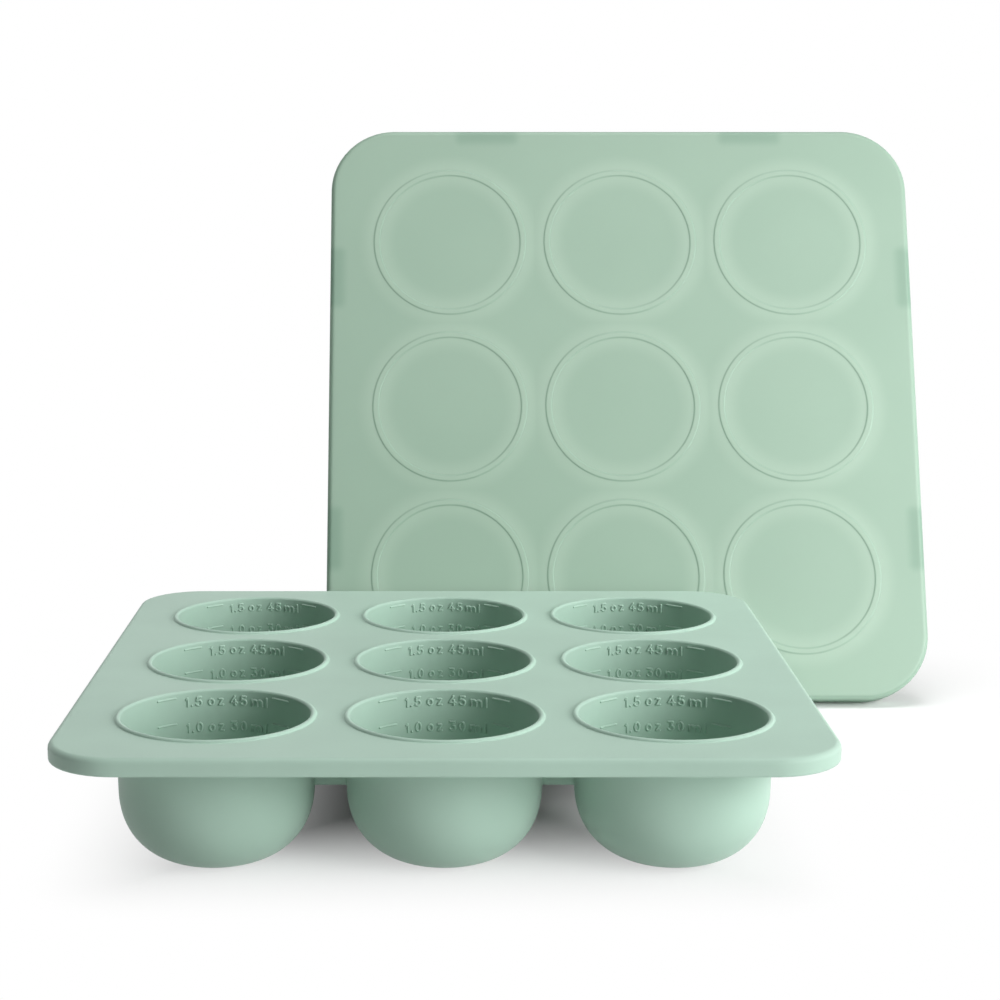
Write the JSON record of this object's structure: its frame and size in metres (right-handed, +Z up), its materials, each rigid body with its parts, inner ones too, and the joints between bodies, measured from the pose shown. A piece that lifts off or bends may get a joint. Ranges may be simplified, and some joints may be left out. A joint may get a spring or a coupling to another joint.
{
  "type": "baby food freezer tray",
  "caption": "Soft moulded freezer tray with nine round-bottomed portion cups in a flat deck, and its square lid, which clips over the deck and has a raised ring over each cup, taken off and stood behind it.",
  "frame": {"origin": "on the floor, at the middle of the centre cup's flat foot", "axes": "+X to the right along the front edge of the tray, +Y to the back where the lid stands, +Z up out of the cups"},
  "size_m": [0.2508, 0.2598, 0.182],
  "materials": {
    "tray_silicone": "satin silicone, sage green",
    "lid_plastic": "frosted translucent plastic, pale green"
  },
  "bodies": {
    "tray": {"tray_deck": "tray_silicone", "cup_front_left": "tray_silicone", "cup_front_middle": "tray_silicone", "cup_front_right": "tray_silicone", "cup_middle_left": "tray_silicone", "cup_centre": "tray_silicone", "cup_middle_right": "tray_silicone", "cup_back_left": "tray_silicone", "cup_back_middle": "tray_silicone", "cup_back_right": "tray_silicone", "cup_webs": "tray_silicone"},
    "lid": {"lid_panel": "lid_plastic", "lid_skirt": "lid_plastic", "lid_snap_tabs": "lid_plastic"}
  },
  "joints": [
    {"name": "lid_lift", "type": "slide", "parent": "tray", "child": "lid", "axis": [0, 0.3746, 0.9272], "range_m": [0, 0.1]}
  ]
}
